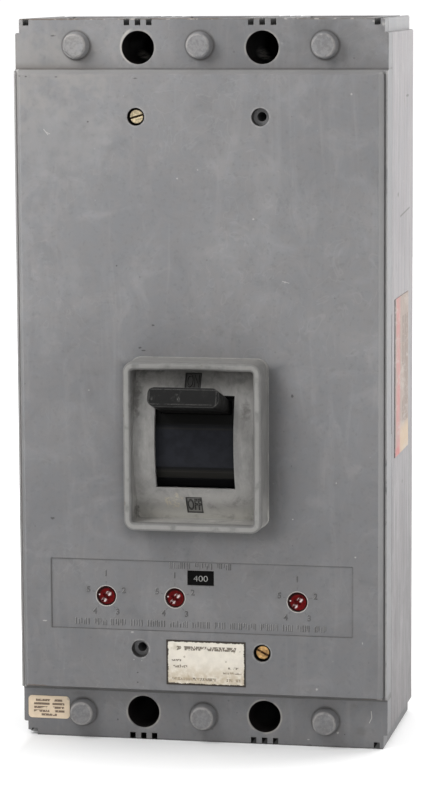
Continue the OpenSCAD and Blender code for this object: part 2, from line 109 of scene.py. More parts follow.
# ---------------------------------------------------------------- marks on the front, in millimetres
# Spots and smears are (x, z, half width, half height).
PALE_SPOTS = [
    (100.6, -174.3, 2.6, 0.7), (87.7, -93.3, 0.9, 0.9), (91.7, -141.8, 0.8, 1.4), (85.5, 162.2, 0.8, 1.0),
    (48.6, 59.1, 0.9, 0.8), (31.0, 93.6, 1.1, 0.8), (-90.3, -135.2, 1.9, 0.8), (-39.2, -140.0, 1.6, 0.8),
    (-38.6, -155.8, 0.6, 0.6), (-34.1, -156.3, 0.7, 0.5), (-0.2, 120.5, 0.7, 0.6), (-11.7, 115.7, 0.8, 0.7),
    (66.1, -168.8, 1.6, 1.2), (76.7, -194.9, 1.2, 1.2), (101.9, 200.0, 1.5, 2.6), (96.5, 201.4, 1.2, 1.0),
    (52.6, -73.0, 0.7, 0.7), (60.0, -199.5, 1.4, 0.5), (-63.0, -3.0, 0.7, 0.7), (77.0, -52.0, 0.6, 0.9),
]
SMEARS = [
    (-50.4, 137.1, 5, 10), (-26.4, 125.1, 4, 9), (40.3, 136.6, 6, 5), (20.5, 136.6, 4, 6),
    (8.8, 123.2, 5, 4), (70.3, 105.4, 4, 4), (-68.7, -71.6, 8, 4), (-46.6, 187.5, 5, 12),
    (-48.6, 186.5, 7, 12), (-84.0, 183.0, 9, 5), (66.0, -63.0, 9, 6), (-71.0, 60.0, 6, 22),
    (-88.0, 22.0, 6, 16), (45.0, 20.0, 9, 5), (12.0, 74.0, 12, 6), (-20.0, -72.0, 10, 5),
]
DARK_SPOTS = [
    (-62.1, 146.8, 0.6, 0.6), (-26.0, 34.1, 0.9, 0.6), (52.5, -3.9, 1.0, 1.1), (-33.5, 21.4, 1.3, 0.7),
    (-31.4, 19.9, 1.5, 0.5), (-85.0, -76.1, 1.5, 1.0), (-82.8, 193.8, 1.8, 0.8), (-100.9, 171.8, 1.2, 0.5),
    (-97.0, 171.6, 1.0, 0.5), (-80.0, 171.4, 1.1, 0.4), (-35.0, 170.6, 1.6, 0.4), (60.7, -203.0, 1.6, 0.9),
    (52.0, -43.0, 0.6, 0.6), (-36.5, -163.1, 0.6, 0.5), (-36.6, -168.8, 0.7, 0.6), (80.6, -195.6, 0.5, 0.5),
    (-50.0, -192.6, 0.6, 0.8), (-46.4, 67.0, 0.5, 0.5),
]
GREASE = [
    (-73.7, -178.1, 6.0, 2.0), (-45.0, -181.0, 5.0, 1.6), (85.9, -179.2, 4.5, 2.5), (88.0, -193.0, 6.0, 3.0),
]
# Strokes are (from (x, z), to (x, z), half width).
BROWN_MARKS = [
    ((-100.5, -172.9), (-90.0, -173.0), 0.75), ((91.0, -174.2), (101.5, -174.4), 0.6),
    ((-104.0, 203.0), (-60.0, 203.1), 0.6), ((-28.0, 203.1), (10.0, 203.1), 0.5),
]
PALE_LINES = [((-101.8, 171.9), (-45.0, 172.2), 0.7), ((-99.0, 170.6), (-70.0, 170.7), 0.3)]
SCRATCHES = [
    ((-87.2, 142.4), (-84.9, 139.5), 0.35), ((95.6, -181.9), (95.9, -185.5), 0.3),
    ((95.9, -185.5), (94.5, -188.5), 0.3), ((-86.0, 141.0), (-83.8, 139.9), 0.25),
    ((50.8, 58.6), (47.0, 59.6), 0.25),
]


# ---------------------------------------------------------------- material nodes
class Tree:
    """A Principled material in the row's coordinates, whose base colour is painted in layers."""

    rays = 6  # traced for each rounded edge and each hollow

    def __init__(self, name):
        self.material = bpy.data.materials.new(name)
        self.material.use_nodes = True
        self.nodes = self.material.node_tree.nodes
        self.links = self.material.node_tree.links
        self.nodes.clear()
        output = self.nodes.new("ShaderNodeOutputMaterial")
        self.bsdf = self.nodes.new("ShaderNodeBsdfPrincipled")
        self.links.new(self.bsdf.outputs[0], output.inputs[0])
        self.place = self.nodes.new("ShaderNodeTexCoord").outputs["Object"]
        split = self.nodes.new("ShaderNodeSeparateXYZ")
        self.links.new(self.place, split.inputs[0])
        self.x, self.y, self.z = split.outputs

    def put(self, value, socket):
        """Links a node's output to a socket, or sets the socket to a plain value."""
        if isinstance(value, bpy.types.NodeSocket):
            self.links.new(value, socket)
        elif isinstance(value, (tuple, list, Vector)) and len(value) == 3 and socket.type == "RGBA":
            socket.default_value = (*value, 1)
        else:
            socket.default_value = value

    # -------- sums
    def math(self, operation, *values, clamp=False):
        node = self.nodes.new("ShaderNodeMath")
        node.operation = operation
        node.use_clamp = clamp
        for value, socket in zip(values, node.inputs):
            self.put(value, socket)
        return node.outputs[0]

    def vector(self, operation, *values):
        node = self.nodes.new("ShaderNodeVectorMath")
        node.operation = operation
        for value, socket in zip(values, node.inputs):
            self.put(value, socket)
        return node.outputs["Value" if operation in ("LENGTH", "DISTANCE", "DOT_PRODUCT") else "Vector"]

    def between(self, value, low, high, out_low=0.0, out_high=1.0):
        """A smooth step as the value goes from low to high. Low may be the larger of the two."""
        node = self.nodes.new("ShaderNodeMapRange")
        node.interpolation_type = "SMOOTHSTEP"
        for v, socket in zip((value, low, high, out_low, out_high), node.inputs):
            self.put(v, socket)
        return node.outputs[0]

    def chain(self, operation, values):
        """Joins any number of values with an operation that takes two."""
        result = values[0]
        for value in values[1:]:
            result = self.math(operation, result, value)
        return result

    def most(self, *masks):
        return self.chain("MAXIMUM", masks)

    def least(self, *masks):
        return self.chain("MINIMUM", masks)

    def times(self, *values):
        return self.chain("MULTIPLY", values)

    def absolute(self, value):
        return self.math("ABSOLUTE", value)

    def minus(self, value, other):
        return self.math("SUBTRACT", value, other)

    def outside(self, value, low, high):
        """How far a value lies outside the stretch from low to high."""
        past = self.most(self.minus(value, high), self.minus(low, value))
        return self.most(past, 0.0)

    def diagonal(self, a, b):
        """The length of two offsets at right angles."""
        return self.math("SQRT", self.math("ADD", self.math("POWER", a, 2.0), self.math("POWER", b, 2.0)))

    def radius(self, x, z, mirrored=False):
        """Distance from a line along Y through that place, or through its mirror images too."""
        flat = self.nodes.new("ShaderNodeCombineXYZ")
        across = self.absolute(self.x) if mirrored else self.x
        up = self.absolute(self.z) if mirrored else self.z
        self.put(self.minus(across, x), flat.inputs[0])
        self.put(self.minus(up, z), flat.inputs[2])
        return self.vector("LENGTH", flat.outputs[0])

    # -------- patterns
    def scaled(self, factors, turn=(0, 0, 0)):
        """The place, turned and stretched: a noise at it is drawn out along the small factors."""
        node = self.nodes.new("ShaderNodeMapping")
        self.links.new(self.place, node.inputs[0])
        node.inputs["Rotation"].default_value = turn
        node.inputs["Scale"].default_value = factors
        return node.outputs[0]

    def noise(self, scale, detail, rough=0.5, at=None, distort=0.0):
        node = self.nodes.new("ShaderNodeTexNoise")
        self.put(at or self.place, node.inputs["Vector"])
        node.inputs["Scale"].default_value = scale
        node.inputs["Detail"].default_value = detail
        node.inputs["Roughness"].default_value = rough
        node.inputs["Distortion"].default_value = distort
        return node.outputs[0]

    def patches(self, scale, detail, low, high, rough=0.5):
        """1 where a noise is above high, 0 where it is below low."""
        return self.between(self.noise(scale, detail, rough), low, high)

    def wobble(self, scale, detail, span, rough=0.5):
        """A noise centred on 0, which makes the outline of a mark uneven."""
        return self.math("MULTIPLY_ADD", self.noise(scale, detail, rough), span, -span / 2)

    def specks(self, scale, share, size):
        """Sparse round specks: that share of the cells holds one."""
        node = self.nodes.new("ShaderNodeTexVoronoi")
        self.put(self.place, node.inputs["Vector"])
        node.inputs["Scale"].default_value = scale
        split = self.nodes.new("ShaderNodeSeparateColor")
        self.links.new(node.outputs["Color"], split.inputs[0])
        chosen = self.math("LESS_THAN", split.outputs[0], share)
        reach = self.math("MULTIPLY_ADD", split.outputs[1], size, size * 0.3)
        return self.times(chosen, self.math("LESS_THAN", node.outputs["Distance"], reach))

    # -------- masks, 1 inside
    def spot(self, at, size, soft, wobble=None):
        """A soft ellipsoid at a place."""
        offset = self.vector("SUBTRACT", self.place, tuple(at))
        far = self.vector("LENGTH", self.vector("DIVIDE", offset, tuple(size)))
        if wobble:
            far = self.math("ADD", far, wobble)
        return self.between(far, 1.0, 1.0 - soft)

    def spots(self, places, soft, wobble=None):
        """Several soft ellipsoids: places are (centre, half sizes) in millimetres."""
        return self.most(*[self.spot(mm(*at), mm(*size), soft, wobble) for at, size in places])

    def stroke(self, a, b, width, soft, wobble=None, at=None):
        """A scratch from a to b."""
        a, b = Vector(a), Vector(b)
        along = b - a
        offset = self.vector("SUBTRACT", at or self.place, tuple(a))
        reach = self.vector("DOT_PRODUCT", offset, tuple(along))
        share = self.math("DIVIDE", reach, along.length_squared, clamp=True)
        nearest = self.nodes.new("ShaderNodeVectorMath")
        nearest.operation = "SCALE"
        nearest.inputs[0].default_value = along
        self.put(share, nearest.inputs["Scale"])
        far = self.vector("DISTANCE", offset, nearest.outputs[0])
        if wobble:
            far = self.math("ADD", far, wobble)
        return self.between(far, width, width * (1 - soft))

    def band(self, value, low, high, soft=0.0001):
        """Where the value lies between low and high."""
        rise = self.between(value, low - soft, low + soft)
        fall = self.between(value, high + soft, high - soft)
        return self.times(rise, fall)

    def edges(self, radius, low=0.02, high=0.25):
        """Along convex and concave edges."""
        flat = self.nodes.new("ShaderNodeNewGeometry").outputs["Normal"]
        same = self.vector("DOT_PRODUCT", self.rounded(radius), flat)
        return self.between(self.minus(1.0, same), low, high)

    def hollow_shade(self, reach):
        """How deep in corners and grooves a point lies, for painted shade."""
        node = self.nodes.new("ShaderNodeAmbientOcclusion")
        node.samples = self.rays
        node.only_local = True
        node.inputs["Distance"].default_value = reach
        return self.between(node.outputs["AO"], 0.62, 0.2)

    def slots(self):
        """Painted shade on the walls and floors of each barrier slot in both ends."""
        ends = self.between(self.absolute(self.z), SLOT_FLOOR_Z - 0.0002, SLOT_FLOOR_Z + 0.0001)
        wide = self.absolute(self.x)
        middle = self.absolute(self.minus(wide, HALF_POLE))
        outer = self.absolute(self.minus(middle, SLOT_PITCH))
        corner = self.absolute(self.minus(wide, CORNER_SLOT_X))
        halves = ((middle, HALF_SLOT), (outer, HALF_SLOT), (corner, HALF_CORNER_SLOT))
        return self.times(ends, self.most(*[self.math("LESS_THAN", far, half) for far, half in halves]))

    def print_rows(self, along, across, rows, fine=(1500, 600)):
        """Illegible rows of small strokes: rows are (centre, height, from, to, share)."""
        at = self.nodes.new("ShaderNodeCombineXYZ")
        self.put(self.math("MULTIPLY", along, fine[0]), at.inputs[0])
        self.put(self.math("MULTIPLY", across, fine[1]), at.inputs[1])
        strokes = self.noise(1, 1, 0.5, at=at.outputs[0])
        words = self.noise(fine[0] / 7, 1, 0.5)
        masks = []
        for centre, height, start, end, share in rows:
            row = self.band(across, centre - height / 2, centre + height / 2)
            cut = 0.62 - 0.25 * share
            row = self.times(row, self.band(along, start, end), self.between(strokes, cut - 0.03, cut + 0.03))
            masks.append(self.times(row, self.between(words, 0.36, 0.42)))
        return self.most(*masks)

    # -------- the surface
    def rounded(self, radius):
        """The face's direction with rounded edges."""
        bevel = self.nodes.new("ShaderNodeBevel")
        bevel.samples = self.rays
        bevel.inputs["Radius"].default_value = radius
        return bevel.outputs[0]

    def facing(self):
        """The x, y and z of the face's direction."""
        split = self.nodes.new("ShaderNodeSeparateXYZ")
        self.links.new(self.nodes.new("ShaderNodeNewGeometry").outputs["Normal"], split.inputs[0])
        return split.outputs

    def mix(self, factor, a, b, blend="MIX"):
        node = self.nodes.new("ShaderNodeMix")
        node.data_type = "RGBA"
        node.blend_type = blend
        self.put(factor, node.inputs[0])
        self.put(a, node.inputs[6])
        self.put(b, node.inputs[7])
        return node.outputs[2]

    def paint(self, colour, *masks):
        """Lays a colour over the base, as thick as the masks and shares multiplied together."""
        self.base = self.mix(self.times(*masks), self.base, colour)

    def tint(self, factor, mask=1.0):
        """Multiplies the base by a grey or a colour where the mask is 1."""
        self.base = self.mix(mask, self.base, factor, "MULTIPLY")

    def rough(self, value):
        self.put(value, self.bsdf.inputs["Roughness"])

    def shine(self, value):
        self.put(value, self.bsdf.inputs["Specular IOR Level"])

    def bump(self, *layers, normal):
        """Roughens the rounded surface. Layers are (height, distance in metres)."""
        for height, distance in layers:
            node = self.nodes.new("ShaderNodeBump")
            node.inputs["Strength"].default_value = 1.0
            node.inputs["Distance"].default_value = distance
            self.put(height, node.inputs["Height"])
            self.links.new(normal, node.inputs["Normal"])
            normal = node.outputs[0]
        self.links.new(normal, self.bsdf.inputs["Normal"])

    def done(self):
        """Gives the material its painted base."""
        self.put(self.base, self.bsdf.inputs["Base Color"])
        return self.material


def plain(name, colour, rough, metal=0.0, vary=0.15, scale=200, bump=0.00003, shine=0.3):
    """A smooth material of one colour, a little uneven."""
    t = Tree(name)
    fine = t.noise(scale, 4, 0.6)
    dark = tuple(c * (1 - vary) for c in colour)
    light = tuple(min(1, c * (1 + vary)) for c in colour)
    t.base = t.mix(t.between(fine, 0.35, 0.65), dark, light)
    t.rough(t.between(fine, 0.3, 0.7, rough * 0.85, min(1, rough * 1.2)))
    t.bsdf.inputs["Metallic"].default_value = metal
    t.shine(shine)
    t.bump((fine, bump), normal=t.rounded(0.0004))
    return t


# ---------------------------------------------------------------- camera and light
def set_camera():
    """The photograph's view: a long lens from the right, a little above."""
    yaw, pitch, roll = 0.204, 0.134, -0.006
    forward = Vector((-math.sin(yaw) * math.cos(pitch), math.cos(yaw) * math.cos(pitch), -math.sin(pitch)))
    level = Vector((math.cos(yaw), math.sin(yaw), 0))
    upright = level.cross(forward)
    right = math.cos(roll) * level + math.sin(roll) * upright
    up = -math.sin(roll) * level + math.cos(roll) * upright
    camera = bpy.data.cameras.new("camera")
    camera.lens = 143.35
    camera.sensor_width = 36
    camera.shift_x = 0.0102
    camera.shift_y = 0.0045
    camera.clip_end = 20
    ob = bpy.data.objects.new("camera", camera)
    scene.collection.objects.link(ob)
    turned = Matrix((right, up, -forward)).transposed().to_4x4()
    turned.translation = mm(358.1, -1820.4, 227.2)
    ob.matrix_world = turned
    scene.camera = ob


def area_light(name, at, aim, size, power):
    data = bpy.data.lights.new(name, "AREA")
    data.shape = "RECTANGLE"
    data.size, data.size_y = size
    data.energy = power
    ob = bpy.data.objects.new(name, data)
    ob.location = at
    ob.rotation_euler = (Vector(aim) - Vector(at)).to_track_quat("-Z", "Y").to_euler()
    scene.collection.objects.link(ob)


def set_light():
    """A studio that is white behind the object and dimmer on the camera's side, with four lamps."""
    front_strength, back_strength = 0.60, 1.06
    world = bpy.data.worlds.new("studio")
    world.use_nodes = True
    tree = world.node_tree
    place = tree.nodes.new("ShaderNodeTexCoord")
    split = tree.nodes.new("ShaderNodeSeparateXYZ")
    tree.links.new(place.outputs["Generated"], split.inputs[0])
    fade = tree.nodes.new("ShaderNodeMapRange")
    fade.interpolation_type = "SMOOTHSTEP"
    tree.links.new(split.outputs["Y"], fade.inputs[0])
    for socket, value in zip(fade.inputs[1:5], (-0.35, 0.35, front_strength, back_strength)):
        socket.default_value = value
    back = tree.nodes["Background"]
    back.inputs["Color"].default_value = (1, 1, 1, 1)
    tree.links.new(fade.outputs[0], back.inputs["Strength"])
    scene.world = world
    area_light("key", (-0.30, -0.42, 0.42), (0, -0.1, 0.05), (0.3, 0.3), 2.1)
    area_light("front", (0.6, -2.2, 1.2), (0, 0, 0), (1.2, 1.2), 4.9)
    area_light("fill", (0.42, -2.2, 0.42), (0, 0, 0.05), (0.25, 0.25), 1.5)
    area_light("side", (1.0, 1.0, 0.6), (0.1, 0, 0.1), (1.0, 1.2), 13.4)


def floor_white(lowest):
    """White floor with a painted glow that fades towards the object, and painted shadow where the object
    stands on it.
    """
    contact_shadow = (0.02, 0.02, 0.02)
    t = Tree("floor_white")
    t.rough(0.85)
    t.shine(0.2)
    beside = t.outside(t.x, FOOT_LEFT, FOOT_RIGHT)
    far = t.diagonal(beside, t.outside(t.y, FOOT_FRONT, 0.0))
    # painted light: the floor glows, weakest at the object and rising away from it, more so to the right
    painted_glow = t.math("ADD", t.between(far, 0.0, 0.12, 0.0, 0.27), t.between(t.x, -0.08, 0.16, -0.01, 0.07))
    painted_glow = t.math("ADD", painted_glow, t.between(beside, 0.0, 0.007, 0.0, 0.15))
    t.bsdf.inputs["Emission Color"].default_value = (1, 1, 1, 1)
    t.put(t.most(painted_glow, 0.0), t.bsdf.inputs["Emission Strength"])
    t.base = t.mix(t.patches(3, 3, 0.3, 0.7), (0.93, 0.93, 0.93), (0.95, 0.95, 0.95))
    # painted contact shadow where the object stands on the floor
    t.paint(contact_shadow, t.between(far, 0.0004, 0.0))
    # painted shadow: a dark patch by the left front corner
    t.paint(contact_shadow, t.spot((-0.1010, -0.0790, lowest), (0.0045, 0.0100, 1.0), 0.1))
    return t.done()


def set_floor():
    lowest = cad_box[0][2]
    bm = bmesh.new()
    corners = [(-3, -0.45), (3, -0.45), (3, 3), (-3, 3)]
    bm.faces.new([bm.verts.new((x, y, lowest)) for x, y in corners])
    mesh = bpy.data.meshes.new("floor")
    bm.to_mesh(mesh)
    bm.free()
    mesh.materials.append(floor_white(lowest))
    ob = bpy.data.objects.new("floor", mesh)
    scene.collection.objects.link(ob)


# ---------------------------------------------------------------- moulded grey plastic
GREY_SHINE = 0.4
BORE_BLACK = (0.010, 0.008, 0.008)


def front_spots(t, spots, wobble, soft=0.5, share=1.0):
    """The mask of a list of spots, deep enough to reach every level of the front."""
    return t.spots([((x, -100, z), (share * rx, 14, share * rz)) for x, z, rx, rz in spots], soft, wobble)


def front_strokes(t, strokes, wobble=None):
    flat = t.vector("MULTIPLY", t.place, (1, 0, 1))
    return t.most(*[
        t.stroke(mm(ax, 0, az), mm(bx, 0, bz), width / 1000, 0.6, wobble, at=flat)
        for (ax, az), (bx, bz), width in strokes
    ])


def grey_plastic(name, warm=0.0, wear=0.5):
    """Old moulded grey plastic: cloudy, rubbed, with pale edges, painted shade in corners and small specks.
    """
    t = Tree(name)
    big = t.noise(12, 4, 0.55, distort=0.6)
    fine = t.noise(420, 4, 0.6)
    t.middle = t.noise(46, 5, 0.62, distort=0.9)
    streak = t.noise(75, 4, 0.6, at=t.scaled((1.0, 1.0, 0.16)), distort=1.1)
    curl = t.absolute(t.minus(t.noise(34, 3, 0.5, distort=1.8), 0.5))
    t.base = t.mix(t.between(big, 0.35, 0.65), (0.180, 0.179, 0.183), (0.204, 0.201, 0.203))
    t.paint((0.262, 0.257, 0.258), t.between(t.middle, 0.48, 0.74), 0.5)
    t.paint((0.142, 0.142, 0.145), t.between(t.middle, 0.46, 0.28), 0.4)
    t.paint((0.255, 0.250, 0.250), t.between(streak, 0.50, 0.72), 0.4)
    t.paint((0.33, 0.325, 0.32), t.between(curl, 0.014, 0.002), t.between(big, 0.42, 0.6), 0.16)
    t.paint((0.11, 0.11, 0.11), t.between(fine, 0.52, 0.78), 0.30)
    t.tint(t.mix(t.patches(170, 3, 0.35, 0.65, 0.6), (1.008, 1.0, 0.998), (0.984, 1.0, 1.018)))
    if warm:
        t.paint((0.204, 0.192, 0.166), warm)
    t.paint((0.36, 0.35, 0.34), t.specks(240, 0.02, 0.17), 0.3)
    t.paint((0.08, 0.075, 0.07), t.specks(210, 0.03, 0.15), 0.4)
    # painted shade in corners and grooves
    t.paint((0.060, 0.058, 0.055), t.hollow_shade(0.003), 0.35)
    t.paint((0.42, 0.40, 0.37), t.edges(0.0007), t.patches(150, 4, 0.34, 0.62), wear)
    # painted shade: near black inside the barrier slots
    t.paint((0.006, 0.006, 0.006), t.slots(), 0.97)
    t.rough(t.between(t.middle, 0.2, 0.8, 0.48, 0.64))
    t.shine(GREY_SHINE)
    t.bump((fine, 0.00004), (t.middle, 0.00008), normal=t.rounded(0.0005))
    return t


def dull(t, mask):
    """Takes the shine off inside the bores."""
    t.shine(t.between(mask, 0.0, 1.0, GREY_SHINE, 0.02))


# ---------------------------------------------------------------- cover
def paint_tones(t):
    """Broad darker and paler areas of the whole front: painted shade towards the bottom and on the right of
    the upper end, painted light at the upper left.
    """
    dark = (0.06, 0.06, 0.062)
    # painted shade: darker towards the bottom
    t.tint(t.between(t.z, -0.13, 0.0, 0.81, 1.055))
    t.tint((0.965, 0.965, 0.965), t.ledge)
    beside = t.spot(mm(-70, -100, -15), mm(54, 30, 95), 1.0, t.math("MULTIPLY", t.slow, 0.1))
    t.paint(dark, beside, 0.22)
    # painted shade over most of the upper end and the top of the panel
    upper = t.spot(mm(24, -96, 192), mm(84, 9, 44), 1.0)
    below = t.spot(mm(2, -103, 150), mm(64, 9, 60), 1.0)
    t.paint(dark, t.most(upper, t.times(below, 0.4)), 0.24)
    # painted light on the upper left of the panel
    t.paint((0.275, 0.270, 0.268), t.spot(mm(-82, -103, 140), mm(40, 30, 46), 0.95, t.slow), 0.4)
    t.paint((0.33, 0.32, 0.315), front_spots(t, SMEARS, t.slow, 0.95), 0.16)
    # painted light on the left of the upper end
    t.paint((0.262, 0.250, 0.236), t.spot(mm(-104, -100, 176), mm(66, 30, 34), 0.95, t.slow), 0.5)
    # painted shade on the right of the upper end
    t.paint((0.10, 0.10, 0.10), t.spot(mm(80, -96, 192), mm(60, 9, 16), 0.9, t.slow), 0.25)


def paint_joints(t):
    """Dirt where panel and ledges meet; painted shade on the lower bevel, a painted highlight on the upper
    bevel and painted light in the left groove.
    """
    joint = t.times(t.band(t.half_z, PANEL_END_Z, PANEL_END_Z + 0.0010, 0.0002), t.ledge)
    t.paint((0.07, 0.067, 0.065), joint, t.between(t.middle, 0.2, 0.6), 0.6)
    above = t.between(t.math("ADD", t.z, t.uneven), PANEL_END_Z + 0.0048, PANEL_END_Z)
    dirt = t.times(above, t.between(t.z, PANEL_END_Z - 0.0002, PANEL_END_Z), t.ledge)
    t.paint((0.11, 0.095, 0.085), dirt, t.between(t.x, -0.04, -0.07, 0.3, 1.0), 0.5)
    # painted shade on the lower bevel of the panel
    lower = t.band(t.z, -PANEL_END_Z - 0.0008, -PANEL_END_Z + 0.0022, 0.0003)
    lower = t.times(lower, t.between(t.y, PANEL_Y + 0.0002, PANEL_Y + 0.0006))
    t.paint((0.06, 0.058, 0.056), lower, 0.55)
    # painted highlight on the upper bevel of the panel
    upper = t.band(t.z, PANEL_END_Z - 0.0023, PANEL_END_Z, 0.0002)
    upper = t.times(upper, t.between(t.y, LEDGE_Y - 0.0006, LEDGE_Y - 0.0012))
    t.paint((0.31, 0.305, 0.30), upper, 0.5)
    # painted light in the left groove, cancelling its shade
    groove = t.band(t.x, -SIDE_X + 0.0007, -SIDE_X + 0.0020)
    groove = t.times(groove, t.between(t.y, RIM_Y - 0.0004, RIM_Y - 0.0001))
    t.paint((0.50, 0.49, 0.48), groove, t.between(t.half_z, PANEL_END_Z + 0.0004, PANEL_END_Z), 0.6)


def paint_escutcheon_shadow(t):
    """Painted shadow beside the escutcheon, under it and to its right most of all."""
    far = t.diagonal(t.outside(t.x, -0.0373, 0.0403), t.outside(t.z, -0.0787, 0.0137))
    escutcheon_shade_factor = t.most(t.between(far, 0.0, 0.0125, 0.53, 1.0), t.between(t.z, 0.004, 0.016))
    t.tint(escutcheon_shade_factor, t.panel)


def paint_outlines(t):
    """Rubbed edges of the access bores, painted highlights on the right bevel and both rims, painted shade
    along the bottom edge, and a stained top edge.
    """
    ring = t.times(t.band(t.radius(*MOUNTING_BORE, mirrored=True), 0.0091, 0.0101, 0.0004), t.ledge)
    t.paint((0.36, 0.335, 0.30), ring, t.patches(130, 4, 0.35, 0.6), 0.5)
    crescent = t.band(t.radius(-0.0343, 0.1879), 0.0094, 0.0108, 0.0005)
    t.paint((0.42, 0.40, 0.37), crescent, t.between(t.x, -0.0370, -0.0410), t.ledge, 0.8)
    # painted highlight on the right bevel of the panel
    right = t.band(t.x, SIDE_X - 0.0044, SIDE_X - 0.0018)
    right = t.times(right, t.between(t.y, RIM_Y + 0.0002, RIM_Y - 0.0002))
    t.paint((0.33, 0.325, 0.32), right, t.between(t.z, -0.20, -0.05), 0.5)
    # painted highlight on the rims along both sides
    rims = t.between(t.absolute(t.x), SIDE_X - 0.0012, SIDE_X - 0.0008)
    rims = t.times(rims, t.between(t.y, RIM_Y + 0.0010, RIM_Y + 0.0004))
    t.paint((0.40, 0.39, 0.38), rims, t.between(t.middle, 0.3, 0.5), 0.45)
    # painted shade along the bottom edge, where it meets the floor
    under = t.band(t.z, -END_Z - 0.0008, -END_Z + 0.0007, 0.0002)
    under = t.times(under, t.between(t.y, LEDGE_Y + 0.0060, LEDGE_Y + 0.0010))
    t.paint((0.05, 0.048, 0.045), under, t.between(t.middle, 0.25, 0.5), 0.6)
    over = t.band(t.z, END_Z - 0.0007, END_Z + 0.0008, 0.0002)
    t.paint((0.14, 0.115, 0.095), over, t.patches(120, 4, 0.35, 0.6), 0.6)
    t.paint((0.45, 0.42, 0.39), over, t.patches(330, 4, 0.55, 0.65), 0.8)


def paint_marks(t):
    """Stains, lines and knocks."""
    wobble = t.wobble(700, 3, 1.4)
    t.paint((0.10, 0.095, 0.085), front_spots(t, GREASE, t.slow, 0.8), 0.4)
    t.paint((0.125, 0.088, 0.062), front_strokes(t, BROWN_MARKS, t.uneven), 0.55)
    t.paint((0.28, 0.262, 0.245), front_strokes(t, PALE_LINES, t.uneven), 0.22)
    pale = t.most(front_spots(t, PALE_SPOTS, wobble, 0.7, 0.75), front_strokes(t, SCRATCHES))
    t.paint((0.55, 0.53, 0.50), pale, 0.5)
    t.paint((0.035, 0.032, 0.030), front_spots(t, DARK_SPOTS, wobble), 0.7)


def paint_bosses(t):
    """Rubbed faces with pale edges, and painted shade round the foot."""
    far = t.least(t.radius(*MIDDLE_BOSS, mirrored=True), t.radius(*OUTER_BOSS, mirrored=True))
    proud = t.between(t.y, PANEL_Y + 0.0014, PANEL_Y + 0.0008)
    face = t.times(t.between(far, 0.0064, 0.0058), proud)
    rubbed = t.noise(520, 5, 0.75)
    t.paint((0.30, 0.29, 0.275), face, t.between(rubbed, 0.48, 0.60), 0.20)
    t.paint((0.095, 0.090, 0.085), face, t.between(rubbed, 0.52, 0.40), 0.28)
    edge = t.times(t.band(far, 0.0055, 0.0068, 0.0003), proud)
    t.paint((0.46, 0.43, 0.40), edge, t.patches(260, 3, 0.38, 0.55), 0.25)
    # painted shade round the foot of each boss
    t.paint((0.06, 0.056, 0.052), t.band(far, 0.0074, 0.0086, 0.0005), t.ledge, 0.6)


def paint_trip_field(t):
    """A line round the field of the dials, and a pale ring round each dial."""
    tall = t.band(t.z, FIELD_LOW, FIELD_HIGH)
    wide = t.band(t.x, -FIELD_X, FIELD_X)
    line = t.most(
        t.times(t.band(t.x, -FIELD_X - 0.0004, -FIELD_X + 0.0004), tall, 0.6),
        t.times(t.band(t.z, FIELD_HIGH - 0.0005, FIELD_HIGH + 0.0003), wide, 0.5),
        t.times(t.band(t.x, FIELD_X - 0.0004, FIELD_X + 0.0004), tall, 0.45),
        t.times(t.band(t.z, FIELD_LOW - 0.0002, FIELD_LOW + 0.0004), wide, 0.4),
    )
    t.paint((0.075, 0.073, 0.072), line)
    rings = [t.band(t.radius(x, DIAL_Z), 0.0053, 0.0060, 0.0002) for x in DIALS.values()]
    t.paint((0.60, 0.55, 0.51), t.most(*rings), 0.85)


def paint_bores(t):
    """Cover screws' bores: painted shade on the walls, black painted shade round the two screws, dusty
    mouths. Access bores: black.
    """
    bore = t.radius(*COVER_SCREW_BORE, mirrored=True)
    # painted shade on the walls of the cover screws' bores
    wall_shade = t.times(t.band(bore, 0.0045, 0.0051), t.between(t.y, PANEL_Y + 0.0003, PANEL_Y + 0.0014))
    t.paint((0.030, 0.028, 0.027), wall_shade, 0.75)
    # painted shade: black in the gap round the two screws
    screwed = t.math("LESS_THAN", t.times(t.x, t.z), 0.0)
    deep = t.between(t.y, PANEL_Y + 0.0010, PANEL_Y + 0.0020)
    screw_gap_shade = t.times(t.between(bore, 0.0051, 0.0050), deep, screwed)
    t.paint((0.010, 0.009, 0.008), screw_gap_shade, 0.95)
    dust = t.times(t.band(bore, 0.0049, 0.0058, 0.0003), t.panel, t.patches(420, 4, 0.42, 0.56, 0.7))
    t.paint((0.40, 0.385, 0.37), dust, 0.3)
    access = t.between(t.radius(*MOUNTING_BORE, mirrored=True), 0.0094, 0.0093)
    inside = t.times(access, t.between(t.y, LEDGE_Y + 0.0003, LEDGE_Y + 0.0015))
    t.paint(BORE_BLACK, inside, 0.985)
    dull(t, t.most(inside, screw_gap_shade))


def cover_plastic():
    t = grey_plastic("cover_grey_plastic")
    t.slow = t.wobble(160, 4, 2.4)
    t.uneven = t.wobble(420, 3, 0.0016)
    t.half_z = t.absolute(t.z)
    t.ledge = t.between(t.y, LEDGE_Y - 0.0015, LEDGE_Y - 0.0005)
    t.panel = t.between(t.y, PANEL_Y + 0.0010, PANEL_Y + 0.0002)
    paint_tones(t)
    paint_joints(t)
    paint_escutcheon_shadow(t)
    paint_outlines(t)
    paint_marks(t)
    paint_bosses(t)
    paint_trip_field(t)
    paint_bores(t)
    return t.done()


